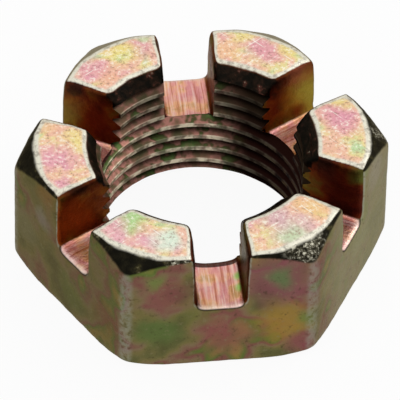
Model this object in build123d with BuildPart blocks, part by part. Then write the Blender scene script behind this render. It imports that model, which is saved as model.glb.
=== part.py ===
from build123d import *
import math
import os

# Castle nut for a fine-threaded M20 stud, one piece of steel.
# Hexagon bar is turned, bored and tapped, then six slots for a split pin are milled
# down through the flats. Millimetres, +Z towards the slotted end, origin at the middle
# of the flat seat, two flats square to Y and two corners on X.

# Hexagon and height
across_flats = 30.0
height = 13.5

# Bore at the thread's minor diameter: the thread turns themselves are not cut here
thread_diameter = 20.0
thread_pitch = 1.5
minor_radius = thread_diameter / 2 - 0.541266 * thread_pitch

# Countersinks at both ends of the bore, 45 degrees to the axis
top_mouth_radius = 10.6
seat_mouth_radius = 10.2

# Turned chamfers that take the hexagon's corners off: circle on the face, angle from the face
top_circle_radius = 15.05
top_chamfer_angle = 36.0
seat_circle_radius = 15.8
seat_chamfer_angle = 32.0

# Split-pin slots, one in each flat, open to the bore and to the top.
# Each is milled by itself, and stands a little to one side of its flat's middle,
# counter-clockwise seen from the slotted end.
slot_width = 4.5
slot_floor = 7.2
slot_offsets = {-90: 0.15, -30: 0.3, 30: 0.3, 90: 0.15, 150: 0.3, 210: 0.55}

# Tumbling before plating rounds the edges
corner_radius = 0.8
rim_radius = 0.6
mouth_radius = 0.3
prong_edge_radius = 0.3

apothem = across_flats / 2
blank_radius = apothem / math.cos(math.radians(30)) + 1.0
top_chamfer_drop = (blank_radius - top_circle_radius) * math.tan(math.radians(top_chamfer_angle))
seat_chamfer_rise = (blank_radius - seat_circle_radius) * math.tan(math.radians(seat_chamfer_angle))

with BuildPart() as castle_nut:
    # Hexagon bar
    with BuildSketch():
        RegularPolygon(radius=apothem, side_count=6, major_radius=False)
        fillet(vertices(), radius=corner_radius)
    extrude(amount=height)

    # Turned section: seat, chamfer, top chamfer, slotted face, countersink, bore, countersink
    with BuildSketch(Plane.XZ):
        with BuildLine():
            Polyline(
                (seat_mouth_radius, 0),
                (seat_circle_radius, 0),
                (blank_radius, seat_chamfer_rise),
                (blank_radius, height - top_chamfer_drop),
                (top_circle_radius, height),
                (top_mouth_radius, height),
                (minor_radius, height - (top_mouth_radius - minor_radius)),
                (minor_radius, seat_mouth_radius - minor_radius),
                close=True,
            )
        make_face()
        fillet(vertices().sort_by_distance((top_circle_radius, height))[0], radius=rim_radius)
        fillet(vertices().sort_by_distance((top_mouth_radius, height))[0], radius=mouth_radius)
    revolve(axis=Axis.Z, mode=Mode.INTERSECT)

    # Six slots leave six prongs, one over each corner of the hexagon
    with BuildSketch(Plane.XY.offset(slot_floor)):
        for angle, offset in slot_offsets.items():
            turn = math.radians(angle)
            x = math.cos(turn) * apothem - math.sin(turn) * offset
            y = math.sin(turn) * apothem + math.cos(turn) * offset
            with Locations(Location((x, y, 0), (0, 0, angle))):
                Rectangle(apothem, slot_width)
    extrude(amount=height, mode=Mode.SUBTRACT)

    # The milled prong walls lose their sharp upper edges, from flat to bore
    walls = castle_nut.faces().filter_by(
        lambda face: abs(face.normal_at().Z) < 0.01 and face.bounding_box().min.Z > slot_floor - 0.01
    ).filter_by(GeomType.PLANE)
    upper_edges = walls.edges().filter_by(Axis.Z, reverse=True).filter_by(
        lambda edge: edge.center().Z > slot_floor + 0.1
    )
    fillet(upper_edges, radius=prong_edge_radius)

castle_nut.part.label = "castle_nut"

os.makedirs("parts", exist_ok=True)
export_step(castle_nut.part, "parts/castle_nut.step")

print("volume", round(castle_nut.part.volume), "mm3, minor radius", round(minor_radius, 3))
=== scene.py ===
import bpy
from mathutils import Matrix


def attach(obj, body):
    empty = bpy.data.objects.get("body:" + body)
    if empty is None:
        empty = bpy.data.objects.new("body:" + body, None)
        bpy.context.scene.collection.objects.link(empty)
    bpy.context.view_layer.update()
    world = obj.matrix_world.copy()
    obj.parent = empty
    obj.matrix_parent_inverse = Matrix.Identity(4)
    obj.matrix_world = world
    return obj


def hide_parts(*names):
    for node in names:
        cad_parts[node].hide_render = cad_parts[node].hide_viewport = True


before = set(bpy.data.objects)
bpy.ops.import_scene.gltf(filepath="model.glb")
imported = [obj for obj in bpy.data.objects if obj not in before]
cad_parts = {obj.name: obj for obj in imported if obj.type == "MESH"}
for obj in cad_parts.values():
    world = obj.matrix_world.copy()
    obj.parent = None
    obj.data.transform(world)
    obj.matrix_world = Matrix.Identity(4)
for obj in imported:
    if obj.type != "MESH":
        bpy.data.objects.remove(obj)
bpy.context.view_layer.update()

import math

import bpy
from mathutils import Matrix, Vector


# ---------------------------------------------------------------- castle nut
# The nut for a fine-threaded M20 stud: free-cutting steel hexagon bar, turned at both ends,
# bored and tapped, with six split-pin slots milled down through its flats. It is tumbled,
# which rounds its edges, then zinc plated and passivated in yellow chromate.
MM = 0.001
HEIGHT = 13.5 * MM
APOTHEM = 15.0 * MM
CORNER_ROUND = 0.8 * MM
BLANK = 19 * MM
SEAT_CIRCLE = 15.8 * MM
SEAT_ANGLE = math.radians(32)
TOP_CIRCLE = 15.05 * MM
TOP_ANGLE = math.radians(36)
RIM_ROUND = 0.6 * MM
RIM_STEPS = 4
SLOT_WIDTH = 4.5 * MM
SLOT_FLOOR = 7.2 * MM
SLOT_LENGTH = 17 * MM
SLOT_REACH = 16 * MM
SLOT_SHIFTS = {-90: 0.15, -30: 0.3, 30: 0.3, 90: 0.15, 150: 0.3, 210: 0.55}
PILOT = 8.4 * MM
TOP_MOUTH = 10.6 * MM
SEAT_MOUTH = 10.2 * MM
OVERCUT = 1 * MM
MINOR_RADIUS = 9.188 * MM
WELD = 0.002 * MM


def deselect():
    if bpy.context.object and bpy.context.object.mode != "OBJECT":
        bpy.ops.object.mode_set(mode="OBJECT")
    bpy.ops.object.select_all(action="DESELECT")


def pick(piece):
    """Selects this piece alone."""
    deselect()
    piece.select_set(True)
    bpy.context.view_layer.objects.active = piece


def settle(piece):
    """Puts the piece's place into its mesh, so that its object is at the origin."""
    pick(piece)
    bpy.ops.object.transform_apply(location=True, rotation=True, scale=True)


def clean(piece):
    """Merges doubles and points every face outwards."""
    pick(piece)
    bpy.ops.object.mode_set(mode="EDIT")
    bpy.ops.mesh.select_all(action="SELECT")
    bpy.ops.mesh.remove_doubles(threshold=WELD)
    bpy.ops.mesh.normals_make_consistent(inside=False)
    bpy.ops.object.mode_set(mode="OBJECT")


def modify(piece, kind, **settings):
    """Adds a modifier and applies it."""
    pick(piece)
    modifier = piece.modifiers.new(kind.title(), kind)
    for name, value in settings.items():
        setattr(modifier, name, value)
    bpy.ops.object.modifier_apply(modifier=modifier.name)


def turned(name, rings, sides=96):
    """A solid of revolution: a disc at the first radius and height, extruded ring by ring."""
    deselect()
    radius, height = rings[0]
    bpy.ops.mesh.primitive_circle_add(vertices=sides, radius=radius, fill_type="NGON",
                                      location=(0, 0, height))
    piece = bpy.context.object
    piece.name = name
    settle(piece)
    bpy.ops.object.mode_set(mode="EDIT")
    bpy.ops.mesh.select_all(action="SELECT")
    for next_radius, next_height in rings[1:]:
        bpy.ops.mesh.extrude_region_move(
            TRANSFORM_OT_translate={"value": (0, 0, next_height - height)})
        grow = next_radius / radius
        bpy.ops.transform.resize(value=(grow, grow, 1), center_override=(0, 0, next_height))
        radius, height = next_radius, next_height
    bpy.ops.object.mode_set(mode="OBJECT")
    clean(piece)
    return piece


def cut(piece, cutter, operation="DIFFERENCE", solver="MANIFOLD"):
    """Cuts the piece with another and removes the cutter."""
    modify(piece, "BOOLEAN", object=cutter, operation=operation, solver=solver)
    bpy.data.objects.remove(cutter)


# Hexagon bar, its long corners rounded
deselect()
bpy.ops.mesh.primitive_cylinder_add(vertices=6, radius=APOTHEM / math.cos(math.radians(30)),
                                    depth=HEIGHT, location=(0, 0, HEIGHT / 2),
                                    rotation=(0, 0, math.radians(30)))
nut = bpy.context.object
nut.name = "castle_nut_plated"
settle(nut)
bpy.ops.object.mode_set(mode="EDIT")
bpy.ops.mesh.select_mode(type="EDGE")
bpy.ops.mesh.select_all(action="DESELECT")
bpy.ops.object.mode_set(mode="OBJECT")
for edge in nut.data.edges:
    low, high = (nut.data.vertices[v].co for v in edge.vertices)
    edge.select = abs(low.z - high.z) > HEIGHT / 2
bpy.ops.object.mode_set(mode="EDIT")
bpy.ops.mesh.bevel(offset_type="OFFSET", offset=CORNER_ROUND * math.tan(math.radians(30)),
                   segments=6)
bpy.ops.object.mode_set(mode="OBJECT")

# Turned chamfers at both ends take the corners off, and the top one's rim is rounded
drop = (BLANK - TOP_CIRCLE) * math.tan(TOP_ANGLE)
rise = (BLANK - SEAT_CIRCLE) * math.tan(SEAT_ANGLE)
tangent = RIM_ROUND * math.tan(TOP_ANGLE / 2)
rings = [(SEAT_CIRCLE, 0), (BLANK, rise), (BLANK, HEIGHT - drop)]
for step in range(RIM_STEPS + 1):
    turn = TOP_ANGLE * (1 - step / RIM_STEPS)
    rings.append((TOP_CIRCLE - tangent + RIM_ROUND * math.sin(turn),
                  HEIGHT - RIM_ROUND * (1 - math.cos(turn))))
cut(nut, turned("turned_blank", rings, sides=192), "INTERSECT", "EXACT")

# Six slots, each a little to one side of its flat's middle
for angle, shift in SLOT_SHIFTS.items():
    turn = math.radians(angle)
    x = math.cos(turn) * SLOT_REACH - math.sin(turn) * shift * MM
    y = math.sin(turn) * SLOT_REACH + math.cos(turn) * shift * MM
    deselect()
    bpy.ops.mesh.primitive_cube_add(size=1, location=(x, y, SLOT_FLOOR + HEIGHT / 2),
                                    rotation=(0, 0, turn),
                                    scale=(SLOT_LENGTH, SLOT_WIDTH, HEIGHT))
    slot = bpy.context.object
    settle(slot)
    cut(nut, slot, "DIFFERENCE", "EXACT")

# Countersinks at both ends, turned before tumbling, over a pilot hole
cut(nut, turned("pilot_hole", [
    (SEAT_MOUTH + OVERCUT, -OVERCUT),
    (PILOT, SEAT_MOUTH - PILOT),
    (PILOT, HEIGHT - (TOP_MOUTH - PILOT)),
    (TOP_MOUTH + OVERCUT, HEIGHT + OVERCUT),
]), "DIFFERENCE", "EXACT")

# Tumbling: the solid becomes an even fine mesh whose edges wear round and slightly uneven
TUMBLE_GRAIN = 0.22 * MM
TUMBLE_ROUNDS = 42
DENT_DEPTH = 0.07 * MM
DENT_SIZE = 1.6 * MM
clean(nut)
modify(nut, "REMESH", mode="VOXEL", voxel_size=TUMBLE_GRAIN)
modify(nut, "SMOOTH", factor=0.5, iterations=TUMBLE_ROUNDS)

# The prongs' outer top corners took the most knocks: they are worn much rounder
WORN_ROUNDS = 55
WORN_AT = 14.7 * MM
WORN_FROM = 12 * MM
WORN_DEPTH = 3.2 * MM
WORN_REACH = 2.8 * MM
WORN_FADE = 1.6 * MM
worn_corners = []
for angle, shift in SLOT_SHIFTS.items():
    turn = math.radians(angle)
    for hand in (-1, 1):
        along = hand * SLOT_WIDTH / 2 + shift * MM
        worn_corners.append(Vector((math.cos(turn) * WORN_AT - math.sin(turn) * along,
                                    math.sin(turn) * WORN_AT + math.cos(turn) * along,
                                    HEIGHT)))
group = nut.vertex_groups.new(name="worn_corners")
for vertex in nut.data.vertices:
    if vertex.co.z > HEIGHT - WORN_DEPTH and vertex.co.xy.length > WORN_FROM:
        gap = min((vertex.co - spot).length for spot in worn_corners)
        if gap < WORN_REACH:
            group.add([vertex.index], min(1, (WORN_REACH - gap) / WORN_FADE), "REPLACE")
modify(nut, "SMOOTH", factor=0.5, iterations=WORN_ROUNDS, vertex_group="worn_corners")
dents = bpy.data.textures.new("tumbled_dents", "CLOUDS")
dents.noise_scale = DENT_SIZE
modify(nut, "DISPLACE", texture=dents, texture_coords="LOCAL", mid_level=1.0,
       strength=DENT_DEPTH)

# Knocks from handling: small notches at prong edges, (x, y, z) in mm, size and turn in degrees
KNOCKS = [
    ((2.42, 10.9, 12.9), 0.30, (15, 60, 30)),
    ((9.3, -12.5, 12.75), 0.40, (40, 20, 30)),
]
for centre, size, turns in KNOCKS:
    deselect()
    bpy.ops.mesh.primitive_cube_add(size=size * MM, location=[v * MM for v in centre],
                                    rotation=[math.radians(v) for v in turns])
    knock = bpy.context.object
    settle(knock)
    cut(nut, knock)

# Bore at the thread's minor diameter
cut(nut, turned("bore", [(MINOR_RADIUS, -OVERCUT), (MINOR_RADIUS, HEIGHT + OVERCUT)]))

# Thread: the tap's right-hand V groove, wound up through the bore and both countersinks.
# The groove starts inside the minor radius, where it is wider, so that it cuts clean through.
PITCH = 1.5 * MM
TURNS = 11
STEPS = 96
CREST_START = 0.157 * MM
GROOVE_ROOT, ROOT_HALF = 10.0 * MM, 0.09375 * MM
GROOVE_INNER, INNER_HALF = 9.0 * MM, 0.671 * MM
SMOOTH_ANGLE = math.radians(32)
deselect()
bpy.ops.mesh.primitive_plane_add(size=1)
groove = bpy.context.object
groove.name = "thread_groove"
middle = CREST_START + PITCH / 2 - 2 * PITCH
section = [(GROOVE_INNER, middle - INNER_HALF), (GROOVE_ROOT, middle - ROOT_HALF),
           (GROOVE_ROOT, middle + ROOT_HALF), (GROOVE_INNER, middle + INNER_HALF)]
for vertex, (out, height) in zip((0, 1, 3, 2), section):
    groove.data.vertices[vertex].co = (out, 0, height)
bpy.ops.object.mode_set(mode="EDIT")
bpy.ops.mesh.select_all(action="SELECT")
bpy.ops.mesh.delete(type="ONLY_FACE")
bpy.ops.object.mode_set(mode="OBJECT")
modify(groove, "SCREW", axis="Z", screw_offset=PITCH, iterations=TURNS, steps=STEPS,
       render_steps=STEPS, use_smooth_shade=False)
pick(groove)
bpy.ops.object.mode_set(mode="EDIT")
bpy.ops.mesh.select_all(action="DESELECT")
bpy.ops.mesh.select_non_manifold(extend=False)
bpy.ops.mesh.edge_face_add()
bpy.ops.object.mode_set(mode="OBJECT")
clean(groove)
cut(nut, groove)
clean(nut)
bpy.ops.object.mode_set(mode="EDIT")
bpy.ops.mesh.select_all(action="SELECT")
bpy.ops.mesh.dissolve_degenerate(threshold=WELD)
bpy.ops.object.mode_set(mode="OBJECT")
pick(nut)
bpy.ops.object.shade_smooth_by_angle(angle=SMOOTH_ANGLE)


# Zinc plate passivated in yellow chromate: a clear iridescent film over bright metal, whose
# hue runs from straw through pink and green as its thickness changes; pale at edges, where it
# is rubbed and where highlights are painted. Painted shade and reflection darken some zones.
# Plating grain is only micrometres across, so it is drawn at 0.16 mm and up, to show.
def linear(code):
    """sRGB hex to linear colour."""
    parts = [int(code[i:i + 2], 16) / 255 for i in (1, 3, 5)]
    return [v / 12.92 if v <= 0.04045 else ((v + 0.055) / 1.055) ** 2.4 for v in parts] + [1]


def add(tree, kind, given, out=0):
    """Adds a node with its settings and links, and gives its output, or all of them for None.

    What is given is a property, or a socket's value, hex colour or link.
    """
    node = tree.nodes.new("ShaderNode" + kind)
    own = [name for name in given if isinstance(name, str) and hasattr(node, name)]
    for name in own:
        setattr(node, name, given[name])
    for name, value in given.items():
        if isinstance(value, bpy.types.NodeSocket):
            tree.links.new(value, node.inputs[name])
        elif name not in own:
            node.inputs[name].default_value = linear(value) if isinstance(value, str) else value
    return node.outputs if out is None else node.outputs[out]


def zone(tree, *edges):
    """A mask for where a film lies: the product of edges that fade in from start to full.

    An edge is (measure, start, full), and then its least and most, which are 0 and 1.
    """
    mask = None
    for measure, start, full, *ends in edges:
        least, most = ends or (0, 1)
        edge = add(tree, "MapRange", {"interpolation_type": "SMOOTHSTEP", "Value": measure,
                                      "From Min": start, "From Max": full,
                                      "To Min": least, "To Max": most})
        mask = edge if mask is None else add(tree, "Math", {"operation": "MULTIPLY",
                                                            0: mask, 1: edge})
    return mask


def lay(tree, film, over, *edges):
    """Lays one film over another in a zone; a film is a hex colour or an output."""
    return add(tree, "Mix", {"data_type": "RGBA", 0: zone(tree, *edges), 6: film, 7: over}, 2)


def patched(tree, film, over, place, centre, size, strength, fade=1.35, heart=0.3):
    """A patch of film of another thickness, about one point of the nut, in mm."""
    gap = add(tree, "VectorMath", {"operation": "DISTANCE", 0: place,
                                   1: [v * MM for v in centre]}, "Value")
    return lay(tree, film, over, (gap, size * fade * MM, size * heart * MM, 0, strength))


def mottled(tree, place, size_mm, stops, detail=3, rough=0.55, distort=0):
    """Film whose hue drifts in lumps about size_mm across, through (position, hex) stops."""
    lumps = add(tree, "TexNoise", {"Vector": place, "Scale": 1 / (size_mm * MM),
                                   "Detail": detail, "Roughness": rough,
                                   "Distortion": distort}, "Fac")
    film = add(tree, "ValToRGB", {"Fac": lumps}, "Color")
    band = film.node.color_ramp.elements
    while len(band) < len(stops):
        band.new(0.5)
    for element, (position, code) in zip(band, stops):
        element.position = position
        element.color = linear(code)
    return film


def streaks(tree, place, turn, stretch, size_mm, detail, rough):
    """Fine marks size_mm wide, drawn out by stretch along a line turned about Z."""
    drawn = add(tree, "Mapping", {"vector_type": "TEXTURE", "Vector": place,
                                  "Rotation": (0, 0, math.radians(turn)), "Scale": stretch})
    return add(tree, "TexNoise", {"Vector": drawn, "Scale": 1 / (size_mm * MM),
                                  "Detail": detail, "Roughness": rough,
                                  "Distortion": 0}, "Fac")


def from_axis(tree, place):
    """The place as x, y and z, flattened to the seat, and its distance from the nut's axis."""
    parts = add(tree, "SeparateXYZ", {0: place}, None)
    flat = add(tree, "CombineXYZ", {0: parts["X"], 1: parts["Y"]})
    return parts, flat, add(tree, "VectorMath", {"operation": "LENGTH", 0: flat}, "Value")


plate = bpy.data.materials.new("yellow_chromate_on_zinc")
plate.use_nodes = True
tree = plate.node_tree
tree.nodes.clear()
coords = add(tree, "TexCoord", {}, None)
place, normal = coords["Object"], coords["Normal"]
where, flat_place, radius = from_axis(tree, place)
up = add(tree, "SeparateXYZ", {0: normal}, "Z")

# Film patches wander: the place they are measured from is pushed about by a slow noise
WANDER_SIZE = 3.2 * MM
WANDER_REACH = 3.4 * MM
drift = add(tree, "TexNoise", {"Vector": place, "Scale": 1 / WANDER_SIZE, "Detail": 3}, "Color")
push = add(tree, "VectorMath", {"operation": "SUBTRACT", 0: drift, 1: (0.5, 0.5, 0.5)})
push = add(tree, "VectorMath", {"operation": "SCALE", 0: push, "Scale": WANDER_REACH})
wander = add(tree, "VectorMath", {"operation": "ADD", 0: place, 1: push})
mottle = add(tree, "TexNoise", {"Vector": place, "Scale": 1 / (0.55 * MM), "Detail": 4,
                                "Roughness": 0.7, "Distortion": 0}, "Fac")
grit = add(tree, "TexNoise", {"Vector": place, "Scale": 1 / (0.16 * MM), "Detail": 2,
                              "Roughness": 0.8, "Distortion": 0}, "Fac")

# Hexagon flats: dull olive and khaki, with maroon and green rings in the film
flats = mottled(tree, place, 4.2, [
    (0.30, "#4E4C2C"), (0.38, "#605E38"), (0.45, "#72683F"), (0.51, "#7A664C"),
    (0.56, "#764C44"), (0.62, "#586830"), (0.70, "#86723C")], 2, 0.5)
for centre, size, code, strength in [
    ((5.4, -15, 10.6), 3.6, "#804A52", 0.85), ((5.4, -15, 10.8), 1.5, "#5A7046", 0.85),
    ((5.8, -15, 4.9), 2.9, "#967634", 0.8), ((7.3, -15, 2.0), 1.5, "#80464C", 0.8),
    ((8.0, -15, 5.0), 1.2, "#62763C", 0.7), ((-5.4, -15, 4.6), 2.2, "#586A38", 0.8),
    ((-4.6, -15, 9.6), 2.2, "#80484A", 0.75), ((0.4, -15, 3.9), 2.7, "#86504A", 0.8),
    ((-5.6, -15, 11.0), 1.1, "#66803C", 0.7), ((-1.8, -15, 6.6), 1.6, "#6A6A38", 0.6),
    ((-10.1, -12.6, 4.4), 2.0, "#7A4638", 0.7), ((-14.7, -4.5, 12.0), 1.5, "#86602E", 0.7),
    ((-14.7, -4.5, 9.0), 1.1, "#8C8C84", 0.6), ((-16.6, -1.2, 6.5), 2.6, "#7A7656", 0.8),
    ((-12.8, -7.9, 3.4), 2.0, "#5C6A36", 0.7), ((15.7, -2.9, 11.2), 1.7, "#9C8A92", 0.8),
    ((10.3, -12.1, 6.9), 1.8, "#8A7E54", 0.6), ((13.9, -5.9, 5.4), 2.0, "#8E9068", 0.6),
]:
    flats = patched(tree, flats, code, wander, centre, size, strength)
# Painted shade and reflection: the flats on the left are darker and those on the right paler
flats = lay(tree, flats, "#544A2C", (where["X"], -7 * MM, -10 * MM, 0, 0.5))
flats = lay(tree, flats, "#94906E", (where["X"], 9 * MM, 12 * MM, 0, 0.7))
flats = lay(tree, flats, "#6E6540", (where["Y"], -2 * MM, 4 * MM, 0, 0.5))
flats = lay(tree, flats, "#8A8060", (mottle, 0.54, 0.74, 0, 0.40))
flats = lay(tree, flats, "#3A3220", (mottle, 0.46, 0.30, 0, 0.55))

# Prong tops: pastel pink, peach, straw and pale green, speckled with painted glints and shade of
# a hammered grain
tops = mottled(tree, place, 2.6, [
    (0.34, "#E6A6B0"), (0.44, "#EFBEAC"), (0.52, "#F2C6A4"), (0.60, "#ECDA9C"),
    (0.70, "#C6DCA8")], 3, 0.55, 0.4)
for (x, y), size, code, strength in [
    ((-9.2, 10.6), 1.9, "#E6A4B0", 0.8), ((-4.2, 12.6), 1.5, "#E4A4AE", 0.8),
    ((-6.2, 12.2), 1.5, "#EEDE88", 0.85), ((-3.8, 13.9), 0.9, "#BCDDA4", 0.7),
    ((-7.6, 9.4), 1.5, "#F2BC98", 0.7), ((7.1, 11.3), 1.8, "#E6A0B0", 0.85),
    ((5.5, 13.3), 1.3, "#EFDF90", 0.8), ((9.4, 11.0), 1.2, "#ECDC88", 0.8),
    ((3.6, 12.0), 1.6, "#F4C698", 0.8), ((12.6, 1.6), 2.0, "#E29CAC", 0.85),
    ((13.4, 3.9), 1.1, "#ECDC84", 0.8), ((11.6, -1.9), 1.5, "#F0BEA4", 0.8),
    ((9.4, -9.0), 1.7, "#F2C890", 0.85), ((6.4, -12.3), 1.7, "#C4DCB4", 0.85),
    ((5.2, -10.2), 1.9, "#D8B2B8", 0.85), ((8.0, -11.0), 1.4, "#E4C8C0", 0.7),
    ((-7.5, -9.4), 1.7, "#ACD690", 0.9), ((-9.2, -10.6), 1.6, "#EAB2BC", 0.8),
    ((-6.5, -12.4), 1.4, "#E8B0BC", 0.75), ((-4.6, -12.0), 1.5, "#DDF0DC", 0.9),
    ((-2.8, -11.2), 1.1, "#F2C6AC", 0.8), ((-13.3, 3.4), 1.3, "#F4C69C", 0.8),
    ((-11.7, 1.3), 1.4, "#F0DE90", 0.8), ((-13.6, -0.8), 1.6, "#E8A6B4", 0.85),
]:
    tops = patched(tree, tops, code, wander, (x, y, HEIGHT / MM), size, strength)
# Painted highlight and shade: near-white glints and darker specks of a hammered grain
hammered_glint_and_shade = add(tree, "TexNoise", {"Vector": place, "Scale": 1 / (0.34 * MM), "Detail": 3,
                                  "Roughness": 0.65, "Distortion": 0}, "Fac")
tops = lay(tree, tops, "#FFFAEA", (hammered_glint_and_shade, 0.52, 0.68, 0, 0.70))
tops = lay(tree, tops, "#9C7466", (hammered_glint_and_shade, 0.47, 0.31, 0, 0.62))
pits = add(tree, "TexNoise", {"Vector": place, "Scale": 1 / (0.62 * MM), "Detail": 2,
                              "Roughness": 0.5, "Distortion": 0}, "Fac")
tops = lay(tree, tops, "#6A4A38", (pits, 0.76, 0.82, 0, 0.8))
for turn in (35, -50):
    scratch = streaks(tree, place, turn, (16, 1, 16), 0.22, 1, 0.5)
    tops = lay(tree, tops, "#FFFCF0", (scratch, 0.70, 0.76, 0, 0.6))

# Turned top chamfer: rough and olive, painted near black as shade at the front and left, and
# khaki grey behind as a painted reflection
chamfer = mottled(tree, place, 1.1, [
    (0.40, "#0E0D08"), (0.56, "#1A180F"), (0.66, "#38341F"), (0.76, "#8E886C")], 3, 0.6)
chamfer = lay(tree, chamfer, "#857C64", (where["Y"], 7 * MM, 11 * MM))
torn = mottled(tree, place, 0.45, [(0.42, "#14120C"), (0.52, "#4E4A3C"), (0.62, "#C8C4B0")],
               4, 0.75)
for centre, size in [((7.6, -13.2, 12.7), 2.1), ((-3.6, -14.4, 12.9), 1.2),
                     ((16.0, 0.6, 12.4), 1.0)]:
    chamfer = patched(tree, chamfer, torn, place, centre, size, 0.9, 1.3, 0.5)

# Slot floors: pink to orange, with cutter lines along the slot
FLOOR_FROM = 9.3 * MM
FLOOR_HALF = 3.2 * MM
floors = mottled(tree, wander, 1.7, [
    (0.36, "#DA9292"), (0.48, "#E6A496"), (0.58, "#EAB088"), (0.7, "#C89A66")], 2)
lines = None
for turn in (90, 30, -30):
    x, y = math.cos(math.radians(turn)), math.sin(math.radians(turn))
    grooves = streaks(tree, place, turn, (22, 1, 3), 0.19, 2, 0.6)
    for axis, test, limit in [((x, y, 0), "GREATER_THAN", FLOOR_FROM),
                              ((-y, x, 0), "LESS_THAN", FLOOR_HALF)]:
        away = add(tree, "VectorMath", {"operation": "DOT_PRODUCT", 0: place, 1: axis},
                   "Value")
        away = add(tree, "Math", {"operation": "ABSOLUTE", 0: away})
        inside = add(tree, "Math", {"operation": test, 0: away, 1: limit})
        grooves = add(tree, "Math", {"operation": "MULTIPLY", 0: inside, 1: grooves})
    lines = grooves if lines is None else add(tree, "Math", {"operation": "MAXIMUM",
                                                             0: lines, 1: grooves})
floors = lay(tree, floors, "#F6DACA", (lines, 0.50, 0.66, 0, 0.55))
floors = lay(tree, floors, "#B0603C", (lines, 0.46, 0.34, 0, 0.65))
for y in (-11.2, -12.6):
    floors = patched(tree, floors, "#8CC860", place, (2.25, y, 7.2), 0.6, 0.9)
# Pale at the floor's outer end, rubbed film with a painted highlight; a dark band painted as
# shade on the rounded inner edge
floors = lay(tree, floors, "#E8DCD0", (radius, 14.2 * MM, 15.0 * MM, 0, 0.7))
floors = lay(tree, floors, "#2A1810", (radius, 9.82 * MM, 9.72 * MM, 0, 0.9))

# Slot walls: smooth brown to maroon film
walls = mottled(tree, wander, 2.8, [
    (0.34, "#2E0F0A"), (0.45, "#5E200A"), (0.55, "#743A0E"), (0.64, "#66501A"),
    (0.74, "#8A7428")], 2)
for centre, size, code, strength in [
    ((10.8, 9.2, 9.6), 3.0, "#94802C", 0.9), ((9.8, 8.7, 12.8), 1.5, "#8E4630", 0.8),
    ((9.6, 8.5, 7.8), 1.3, "#6B1E10", 0.8), ((-11.9, 9.1, 10.0), 2.2, "#6C5220", 0.85),
    ((-9.0, 7.5, 9.6), 1.9, "#621E06", 0.85), ((-12.1, -5.0, 9.6), 3.0, "#863C0C", 0.9),
    ((-11.6, -4.8, 13.2), 1.2, "#3A1A0C", 0.8), ((12.5, -4.3, 10.0), 3.2, "#42140E", 0.8),
    ((13.8, -4.6, 12.6), 1.0, "#4E5A24", 0.8), ((2.4, -12.2, 10.4), 3.0, "#3C3420", 0.9),
]:
    walls = patched(tree, walls, code, wander, centre, size, strength)
# Painted shade on the rounding at the walls' top edges: darker from 12 mm up
walls = lay(tree, walls, "#2C1A10", (where["Z"], 12.0 * MM, 13.3 * MM, 0, 0.5))

# Seat face under the nut: a paler tan mottling
seat = mottled(tree, place, 2.6, [(0.35, "#B89A78"), (0.5, "#C8B088"), (0.65, "#B8A0A0")],
               3, 0.55, 0.4)

# Countersink: almost black, painted shade of the recess, with a few bright chatter marks painted
# as glints
mouth = mottled(tree, place, 1.0, [
    (0.44, "#0C0A07"), (0.58, "#1E140E"), (0.67, "#4A2A22"), (0.75, "#9AA890")], 3, 0.6)

# Zones meet over the rounded edges: each is told by its height, by how far it faces up, and
# by how far it faces out from the axis
outward = add(tree, "VectorMath", {"operation": "NORMALIZE", 0: flat_place})
faces_out = add(tree, "VectorMath", {"operation": "DOT_PRODUCT", 0: outward, 1: normal},
                "Value")
high = (where["Z"], 12.2 * MM, 12.8 * MM)
colour = lay(tree, flats, walls, (where["Z"], 7.1 * MM, 7.5 * MM), (faces_out, 0.62, 0.40))
colour = lay(tree, colour, chamfer, (up, 0.35, 0.62), (faces_out, 0.30, 0.50))
# The rounded rim of the prong tops is pale: rubbed film with a painted highlight along it
colour = lay(tree, colour, "#E6E2D0", (up, 0.84, 0.93), high, (mottle, 0.30, 0.55, 0.45, 1))
colour = lay(tree, colour, tops, (up, 0.968, 0.995), high)
colour = lay(tree, colour, floors, (up, 0.55, 0.85), (where["Z"], 8.2 * MM, 7.7 * MM),
             (where["Z"], 6.6 * MM, 6.9 * MM))
colour = lay(tree, colour, seat, (up, -0.80, -0.95))
colour = lay(tree, colour, mouth, (faces_out, -0.25, -0.50),
             (where["Z"], 10.8 * MM, 11.2 * MM), (up, 0.90, 0.80))

# Pale edges, partly rubbed film where the zinc shows and partly painted highlight: the
# hexagon's long corners and the prongs' upright edges
corner = zone(tree, (radius, 16.80 * MM, 17.05 * MM, 0, 0.42))
steep = add(tree, "Math", {"operation": "ABSOLUTE", 0: up})
upright = zone(tree, (faces_out, 0.40, 0.60), (faces_out, 0.84, 0.68), (steep, 0.5, 0.3, 0, 0.6))
edges = add(tree, "Math", {"operation": "MAXIMUM", 0: corner, 1: upright})
uneven = zone(tree, (mottle, 0.36, 0.58, 0.15, 1))
rubbed_and_highlit = add(tree, "Math", {"operation": "MULTIPLY", 0: edges, 1: uneven})
colour = add(tree, "Mix", {"data_type": "RGBA", 0: rubbed_and_highlit, 6: colour, 7: "#9A9C8E"}, 2)

# Grain stands proud of the plate by a few hundredths of a millimetre, and dulls it unevenly
half_grit = add(tree, "Math", {"operation": "MULTIPLY", 0: grit, 1: 0.5})
height = add(tree, "Math", {"operation": "ADD", 0: mottle, 1: half_grit})
grain = add(tree, "Bump", {"Strength": 0.8, "Distance": 0.07 * MM, "Height": height})
shader = add(tree, "BsdfPrincipled", {
    "Metallic": 0.92, "Specular Tint": (0.62, 0.58, 0.50, 1), "Base Color": colour,
    "Normal": grain, "Roughness": zone(tree, (mottle, 0.3, 0.7, 0.30, 0.46))})
add(tree, "OutputMaterial", {"Surface": shader}, None)
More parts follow.
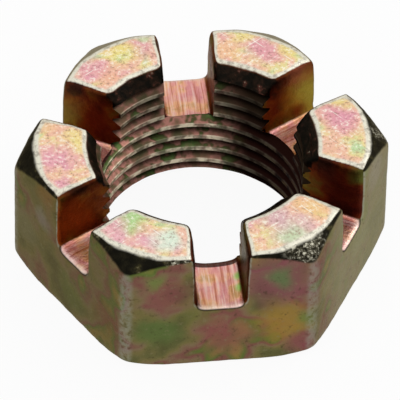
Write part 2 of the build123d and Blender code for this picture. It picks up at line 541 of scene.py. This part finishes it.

# The same film in the tapped thread, with painted light: pink and green upper flanks on the
# left, lower flanks and the whole right side painted near black as shade, and bright lines
# painted along the crests as highlights
tapped = bpy.data.materials.new("tapped_thread_chromate_painted_shade")
tapped.use_nodes = True
tree = tapped.node_tree
tree.nodes.clear()
coords = add(tree, "TexCoord", {}, None)
place, normal = coords["Object"], coords["Normal"]
where, flat_place, radius = from_axis(tree, place)
up = add(tree, "SeparateXYZ", {0: normal}, "Z")
low_place = add(tree, "Mapping", {"vector_type": "TEXTURE", "Vector": place,
                                  "Scale": (1, 1, 1.2)})
upper = mottled(tree, low_place, 2.4, [
    (0.34, "#565038"), (0.43, "#7E5E4C"), (0.50, "#A87468"), (0.56, "#4E4A2E"),
    (0.62, "#4C6434"), (0.72, "#7A6A50")], 3, 0.6)
# Painted shade: the right side of the bore, which faces away from the light, is near black
right = zone(tree, (where["X"], 0.5 * MM, 5.5 * MM))
upper = add(tree, "Mix", {"data_type": "RGBA", 0: right, 6: upper, 7: "#1C0A07"}, 2)
# Darker from 7.4 mm up, above the slot floors
upper = lay(tree, upper, "#221C12", (where["Z"], 7.4 * MM, 9.0 * MM, 0, 0.6))
# Painted shade: the lower flanks, which face down, are near black, darkest on the right
under = add(tree, "Mix", {"data_type": "RGBA", 0: right, 6: "#120C08", 7: "#050302"}, 2)
colour = lay(tree, under, upper, (up, -0.2, 0.35))
broken = add(tree, "TexNoise", {"Vector": place, "Scale": 1 / (1.1 * MM), "Detail": 3,
                                "Roughness": 0.55, "Distortion": 0}, "Fac")
# Painted highlight: bright lines along the crests, fading on the shaded right and higher up
colour = lay(tree, colour, "#D2C6AC", (radius, 9.30 * MM, 9.21 * MM),
             (broken, 0.40, 0.62, 0.15, 0.9), (right, 0, 1, 1, 0.08),
             (where["Z"], 7.0 * MM, 9.0 * MM, 1, 0.4))
# Thread ends at the top countersink take its painted shade and glints
cone = add(tree, "Math", {"operation": "SUBTRACT", 0: radius, 1: where["Z"]})
mouth = mottled(tree, place, 1.2, [
    (0.42, "#0C0A07"), (0.58, "#1E140E"), (0.68, "#4A2A22"), (0.76, "#9AA890")], 3, 0.6)
colour = lay(tree, colour, mouth, (cone, -2.99 * MM, -2.93 * MM),
             (where["Z"], 11.8 * MM, 12.0 * MM))
shader = add(tree, "BsdfPrincipled", {
    "Metallic": 0.92, "Roughness": 0.36, "Specular Tint": (0.4, 0.35, 0.3, 1),
    "Base Color": colour})
add(tree, "OutputMaterial", {"Surface": shader}, None)

# The thread's flanks and roots take the second material; both countersinks stay in the first
THREAD_REACH = 10.03 * MM
CONE_FACING = (0.45, 0.84)
nut.data.materials.clear()
nut.data.materials.append(plate)
nut.data.materials.append(tapped)
for face in nut.data.polygons:
    from_middle = Vector((face.center.x, face.center.y, 0))
    inward = -face.normal.dot(from_middle.normalized())
    mouth_cone = (face.center.z > HEIGHT - 2 * MM
                  and CONE_FACING[0] < face.normal.z < CONE_FACING[1])
    seat_cone = (face.center.z < 1.5 * MM
                 and -CONE_FACING[1] < face.normal.z < -CONE_FACING[0])
    flank = (from_middle.length < THREAD_REACH and inward > 0.3
             and abs(face.normal.z) < 0.93)
    face.material_index = int(flank and not mouth_cone and not seat_cone)
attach(nut, "root")
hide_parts("castle_nut")


# ---------------------------------------------------------------- floor, light and camera
# A matt white painted board that the nut rests on, which runs out to the backdrop. Two large
# soft lamps stand about it, to the right and in front, in an evenly lit white room.
deselect()
bpy.ops.mesh.primitive_plane_add(size=1.2, location=(0, 0, 0))
floor = bpy.context.object
floor.name = "table_top"
settle(floor)


def backdrop(tree, unseen, seen):
    """A level for rays that see the backdrop, straight or mirrored, and one for the rest."""
    ray = add(tree, "LightPath", {}, None)
    sees = add(tree, "Math", {"operation": "MAXIMUM", 0: ray["Is Camera Ray"],
                              1: ray["Is Glossy Ray"]})
    sees = add(tree, "Math", {"operation": "MAXIMUM", 0: sees, 1: ray["Is Transmission Ray"]})
    return add(tree, "MapRange", {"Value": sees, "From Min": 0, "From Max": 1,
                                  "To Min": unseen, "To Max": seen})


# Matt white paint: it keeps the nut's shadow, and looks like the white room behind it
paper = bpy.data.materials.new("matt_white_board")
paper.use_nodes = True
tree = paper.node_tree
tree.nodes.clear()
board = add(tree, "BsdfDiffuse", {"Color": "#F4F4F4"})
bright = add(tree, "Emission", {"Color": "#FFFFFF", "Strength": 1})
both = add(tree, "MixShader", {0: backdrop(tree, 0, 0.93), 1: board, 2: bright})
add(tree, "OutputMaterial", {"Surface": both}, None)
floor.data.materials.append(paper)

# Even white room light, a little dimmer on the nut than the room looks
world = bpy.data.worlds.new("plain_light")
world.use_nodes = True
tree = world.node_tree
tree.nodes.clear()
room = add(tree, "Background", {"Color": "#FFFFFF", "Strength": backdrop(tree, 0.7, 1)})
add(tree, "OutputWorld", {"Surface": room}, None)
bpy.context.scene.world = world

# Lamps by name, place in metres, power in watts and width in metres, aimed at the nut
for name, stand, power, width in [("lamp_right", (0.42, 0.10, 0.30), 0.5, 0.25),
                                  ("lamp_front", (-0.20, -0.30, 0.50), 0.35, 0.3)]:
    light = bpy.data.lights.new(name, "AREA")
    light.energy = power
    light.size = width
    lamp = bpy.data.objects.new(name, light)
    bpy.context.scene.collection.objects.link(lamp)
    lamp.location = stand
    lamp.rotation_euler = (-Vector(stand)).to_track_quat("-Z", "Y").to_euler()

# Camera in front and above: a long lens from afar, turned a little about its own line of sight
AZIMUTH, ELEVATION, ROLL = (math.radians(v) for v in (-7.2405, 45.2009, 1.2761))
DISTANCE = 0.6
AIM_RIGHT, AIM_UP = -0.00009, 0.0042047
back = Vector((math.sin(AZIMUTH) * math.cos(ELEVATION), -math.cos(AZIMUTH) * math.cos(ELEVATION),
               math.sin(ELEVATION)))
level = Vector((math.cos(AZIMUTH), math.sin(AZIMUTH), 0))
rise = back.cross(level)
across = level * math.cos(ROLL) + rise * math.sin(ROLL)
upward = rise * math.cos(ROLL) - level * math.sin(ROLL)
stand = back * DISTANCE + level * AIM_RIGHT + rise * AIM_UP
lens = bpy.data.cameras.new("camera")
lens.lens = 586.88
lens.sensor_width = 36
camera = bpy.data.objects.new("camera", lens)
bpy.context.scene.collection.objects.link(camera)
camera.matrix_world = Matrix((
    (across.x, upward.x, back.x, stand.x),
    (across.y, upward.y, back.y, stand.y),
    (across.z, upward.z, back.z, stand.z),
    (0, 0, 0, 1),
))
bpy.context.scene.camera = camera
bpy.context.scene.view_settings.view_transform = "Standard"
